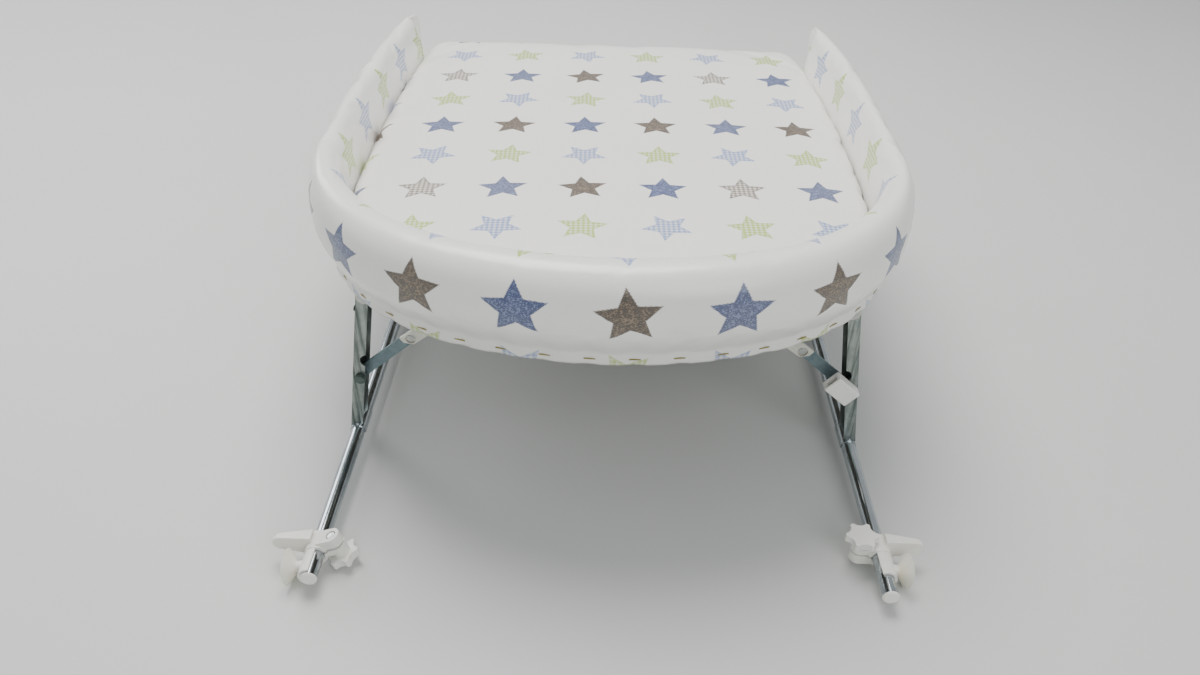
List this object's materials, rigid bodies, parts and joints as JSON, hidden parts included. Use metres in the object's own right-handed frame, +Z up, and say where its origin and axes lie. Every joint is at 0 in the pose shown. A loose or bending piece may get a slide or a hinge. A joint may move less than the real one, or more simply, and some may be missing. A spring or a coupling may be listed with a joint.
{
  "type": "bathtub changing top",
  "caption": "Padded baby changing top with a raised U-shaped rim on folding braced legs, with rails, clamps and suction cups that rest it across a bathtub.",
  "frame": {"origin": "on the floor under the middle of the object, halfway between the two rails and halfway along them", "axes": "+Z up, -Y towards the closed end of the rim, +Y towards the open end, X across the two rails"},
  "size_m": [0.6578, 0.9568, 0.314],
  "materials": {
    "vinyl": "white printed PVC-coated cloth, satin gloss",
    "board": "fibreboard, plain",
    "staple": "brass-coloured wire",
    "galvanised": "galvanised sheet steel",
    "blue_zinc": "blue-passivated zinc on flat steel",
    "bright_zinc": "bright zinc plate",
    "rail_steel": "chrome-plated tube",
    "pin_steel": "zinc-plated pins and rivets",
    "white_plastic": "warm white moulded plastic",
    "cup_rubber": "translucent cream soft PVC",
    "black_rubber": "black rubber"
  },
  "bodies": {
    "board": {"base_board": "board", "cover_skirt": "vinyl", "staples": "staple", "pad_foam": "vinyl", "rim_foam": "vinyl", "leg_bracket_front_left": "bright_zinc", "leg_bracket_front_right": "bright_zinc", "leg_bracket_rear_left": "bright_zinc", "leg_bracket_rear_right": "bright_zinc", "brace_bracket_front_left": "bright_zinc", "brace_bracket_front_right": "bright_zinc", "brace_bracket_rear_left": "bright_zinc", "brace_bracket_rear_right": "bright_zinc", "leg_hinge_pins": "pin_steel", "brace_pivot_pins": "pin_steel", "bracket_screws": "pin_steel"},
    "left_frame": {"rail_left": "rail_steel", "rail_caps_left": "white_plastic", "leg_front_left": "galvanised", "leg_rear_left": "galvanised", "brace_leg_pins_left": "pin_steel", "leg_saddles_left": "bright_zinc", "bumper_studs_left": "black_rubber"},
    "right_frame": {"rail_right": "rail_steel", "rail_caps_right": "white_plastic", "leg_front_right": "galvanised", "leg_rear_right": "galvanised", "brace_leg_pins_right": "pin_steel", "leg_saddles_right": "bright_zinc", "bumper_studs_right": "black_rubber"},
    "lower_brace_front_left": {"lower_link_front_left": "blue_zinc"},
    "upper_brace_front_left": {"upper_link_front_left": "bright_zinc", "knee_rivet_front_left": "pin_steel"},
    "lower_brace_front_right": {"lower_link_front_right": "blue_zinc"},
    "upper_brace_front_right": {"upper_link_front_right": "bright_zinc", "knee_rivet_front_right": "pin_steel"},
    "lower_brace_rear_left": {"lower_link_rear_left": "blue_zinc"},
    "upper_brace_rear_left": {"upper_link_rear_left": "bright_zinc", "knee_rivet_rear_left": "pin_steel"},
    "lower_brace_rear_right": {"lower_link_rear_right": "blue_zinc"},
    "upper_brace_rear_right": {"upper_link_rear_right": "bright_zinc", "knee_rivet_rear_right": "pin_steel"},
    "lock_front_right": {"lock_block_front_right": "white_plastic"},
    "lock_rear_left": {"lock_block_rear_left": "white_plastic"},
    "rail_clamp_front_left": {"clamp_front_left": "white_plastic", "suction_cup_front_left": "cup_rubber", "clamp_bolt_front_left": "pin_steel"},
    "knob_front_left": {"star_knob_front_left": "white_plastic"},
    "rail_clamp_front_right": {"clamp_front_right": "white_plastic", "suction_cup_front_right": "cup_rubber", "clamp_bolt_front_right": "pin_steel"},
    "knob_front_right": {"star_knob_front_right": "white_plastic"},
    "rail_clamp_rear_left": {"clamp_rear_left": "white_plastic", "suction_cup_rear_left": "cup_rubber", "clamp_bolt_rear_left": "pin_steel"},
    "knob_rear_left": {"star_knob_rear_left": "white_plastic"},
    "rail_clamp_rear_right": {"clamp_rear_right": "white_plastic", "suction_cup_rear_right": "cup_rubber", "clamp_bolt_rear_right": "pin_steel"},
    "knob_rear_right": {"star_knob_rear_right": "white_plastic"}
  },
  "joints": [
    {"name": "left_fold", "type": "hinge", "parent": "board", "child": "left_frame", "pos_m": [-0.252, 0, 0.203], "axis": [0, -1, 0], "range_deg": [0, 82]},
    {"name": "right_fold", "type": "hinge", "parent": "board", "child": "right_frame", "pos_m": [0.252, 0, 0.203], "axis": [0, 1, 0], "range_deg": [0, 82]},
    {"name": "lower_brace_front_left_swing", "type": "hinge", "parent": "left_frame", "child": "lower_brace_front_left", "pos_m": [-0.26849, -0.248, 0.09525], "axis": [0, -1, 0], "range_deg": [0, 40.8]},
    {"name": "upper_brace_front_left_swing", "type": "hinge", "parent": "board", "child": "upper_brace_front_left", "pos_m": [-0.163, -0.248, 0.181], "axis": [0, 1, 0], "range_deg": [0, 50.5]},
    {"name": "lower_brace_front_right_swing", "type": "hinge", "parent": "right_frame", "child": "lower_brace_front_right", "pos_m": [0.26849, -0.248, 0.09525], "axis": [0, 1, 0], "range_deg": [0, 40.8]},
    {"name": "upper_brace_front_right_swing", "type": "hinge", "parent": "board", "child": "upper_brace_front_right", "pos_m": [0.163, -0.248, 0.181], "axis": [0, -1, 0], "range_deg": [0, 50.5]},
    {"name": "lower_brace_rear_left_swing", "type": "hinge", "parent": "left_frame", "child": "lower_brace_rear_left", "pos_m": [-0.26849, 0.248, 0.09525], "axis": [0, -1, 0], "range_deg": [0, 40.8]},
    {"name": "upper_brace_rear_left_swing", "type": "hinge", "parent": "board", "child": "upper_brace_rear_left", "pos_m": [-0.163, 0.248, 0.181], "axis": [0, 1, 0], "range_deg": [0, 50.5]},
    {"name": "lower_brace_rear_right_swing", "type": "hinge", "parent": "right_frame", "child": "lower_brace_rear_right", "pos_m": [0.26849, 0.248, 0.09525], "axis": [0, 1, 0], "range_deg": [0, 40.8]},
    {"name": "upper_brace_rear_right_swing", "type": "hinge", "parent": "board", "child": "upper_brace_rear_right", "pos_m": [0.163, 0.248, 0.181], "axis": [0, -1, 0], "range_deg": [0, 50.5]},
    {"name": "lock_front_right_slide", "type": "slide", "parent": "right_frame", "child": "lock_front_right", "axis": [-0.7581, 0, 0.6521], "range_m": [0, 0.006]},
    {"name": "lock_rear_left_slide", "type": "slide", "parent": "left_frame", "child": "lock_rear_left", "axis": [0.7581, 0, 0.6521], "range_m": [0, 0.006]},
    {"name": "clamp_front_left_slide", "type": "slide", "parent": "left_frame", "child": "rail_clamp_front_left", "axis": [0, 1, 0], "range_m": [0, 0.12]},
    {"name": "knob_front_left_turn", "type": "hinge", "parent": "rail_clamp_front_left", "child": "knob_front_left", "pos_m": [-0.26215, -0.436, 0.0265], "axis": [-0.342, 0, 0.9397], "continuous": true},
    {"name": "clamp_front_right_slide", "type": "slide", "parent": "right_frame", "child": "rail_clamp_front_right", "axis": [0, 1, 0], "range_m": [-0.02, 0.1]},
    {"name": "knob_front_right_turn", "type": "hinge", "parent": "rail_clamp_front_right", "child": "knob_front_right", "pos_m": [0.261, -0.417, 0.02], "axis": [0, 0, 1], "continuous": true},
    {"name": "clamp_rear_left_slide", "type": "slide", "parent": "left_frame", "child": "rail_clamp_rear_left", "axis": [0, -1, 0], "range_m": [-0.02, 0.1]},
    {"name": "knob_rear_left_turn", "type": "hinge", "parent": "rail_clamp_rear_left", "child": "knob_rear_left", "pos_m": [-0.261, 0.417, 0.02], "axis": [0, 0, 1], "continuous": true},
    {"name": "clamp_rear_right_slide", "type": "slide", "parent": "right_frame", "child": "rail_clamp_rear_right", "axis": [0, -1, 0], "range_m": [0, 0.12]},
    {"name": "knob_rear_right_turn", "type": "hinge", "parent": "rail_clamp_rear_right", "child": "knob_rear_right", "pos_m": [0.26215, 0.436, 0.0265], "axis": [0.342, 0, 0.9397], "continuous": true}
  ],
  "couplings": [
    {"joint": "lower_brace_front_left_swing", "follows": "left_fold", "ratio": 0.4951},
    {"joint": "upper_brace_front_left_swing", "follows": "left_fold", "ratio": 0.6134},
    {"joint": "lower_brace_front_right_swing", "follows": "right_fold", "ratio": 0.4951},
    {"joint": "upper_brace_front_right_swing", "follows": "right_fold", "ratio": 0.6134},
    {"joint": "lower_brace_rear_left_swing", "follows": "left_fold", "ratio": 0.4951},
    {"joint": "upper_brace_rear_left_swing", "follows": "left_fold", "ratio": 0.6134},
    {"joint": "lower_brace_rear_right_swing", "follows": "right_fold", "ratio": 0.4951},
    {"joint": "upper_brace_rear_right_swing", "follows": "right_fold", "ratio": 0.6134}
  ]
}
